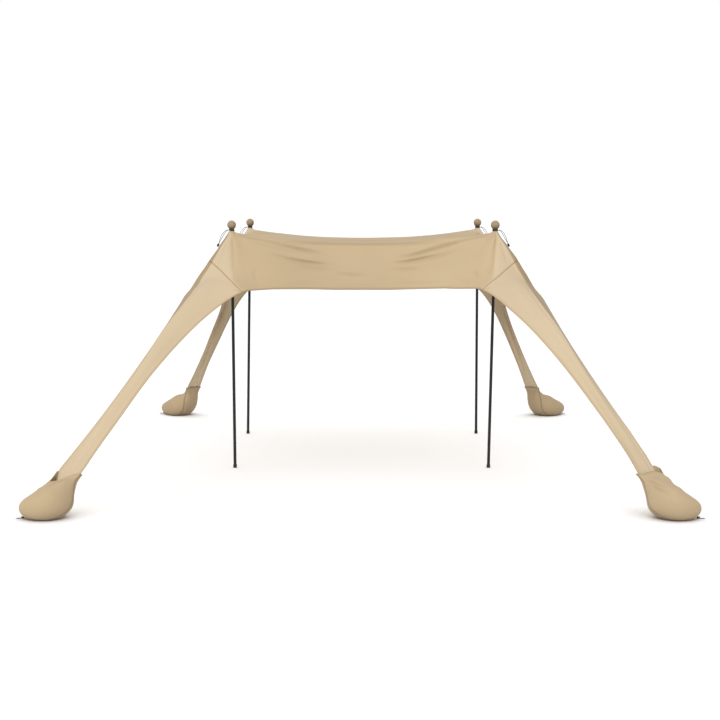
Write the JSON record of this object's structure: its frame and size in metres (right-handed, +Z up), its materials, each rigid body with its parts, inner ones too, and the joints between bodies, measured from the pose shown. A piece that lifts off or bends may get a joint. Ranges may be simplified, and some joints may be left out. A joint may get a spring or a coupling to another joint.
{
  "type": "beach tent",
  "caption": "Stretch-cloth beach canopy held up by poles near its corners and held down by tapering legs that end in sand-filled pouches.",
  "frame": {"origin": "on the ground under the middle of the tent's box", "axes": "+Z up, -Y towards the front, +X to the right seen from the front"},
  "size_m": [4.8244, 5.2463, 2.061],
  "materials": {
    "tan_knit": "matt stretch knit",
    "black_tube": "satin",
    "black_rubber": "matt",
    "black_cord": "braided"
  },
  "bodies": {
    "root": {"canopy_panel": "tan_knit", "leg_front_left": "tan_knit", "leg_front_right": "tan_knit", "leg_back_left": "tan_knit", "leg_back_right": "tan_knit", "pouch_front_left": "tan_knit", "pouch_front_right": "tan_knit", "pouch_back_left": "tan_knit", "pouch_back_right": "tan_knit", "ball_front_left": "tan_knit", "ball_front_right": "tan_knit", "ball_back_left": "tan_knit", "ball_back_right": "tan_knit", "tie_front_left": "black_cord", "tie_front_right": "black_cord", "tie_back_left": "black_cord", "tie_back_right": "black_cord", "pole_front_left": "black_tube", "pole_front_right": "black_tube", "pole_back_left": "black_tube", "pole_back_right": "black_tube", "pole_foot_front_left": "black_rubber", "pole_foot_front_right": "black_rubber", "pole_foot_back_left": "black_rubber", "pole_foot_back_right": "black_rubber", "tie_loop_front_left": "black_cord", "tie_loop_front_right": "black_cord", "tie_loop_back_left": "black_cord", "tie_loop_back_right": "black_cord", "cord_end_front_left": "black_cord", "cord_end_front_right": "black_cord", "cord_end_back_left": "black_cord", "cord_end_back_right": "black_cord", "toe_knot_front_left": "black_cord", "toe_knot_front_right": "black_cord", "toe_knot_back_left": "black_cord", "toe_knot_back_right": "black_cord", "toe_cord_front_left": "black_cord", "toe_cord_front_right": "black_cord", "toe_cord_back_left": "black_cord", "toe_cord_back_right": "black_cord"}
  },
  "joints": []
}
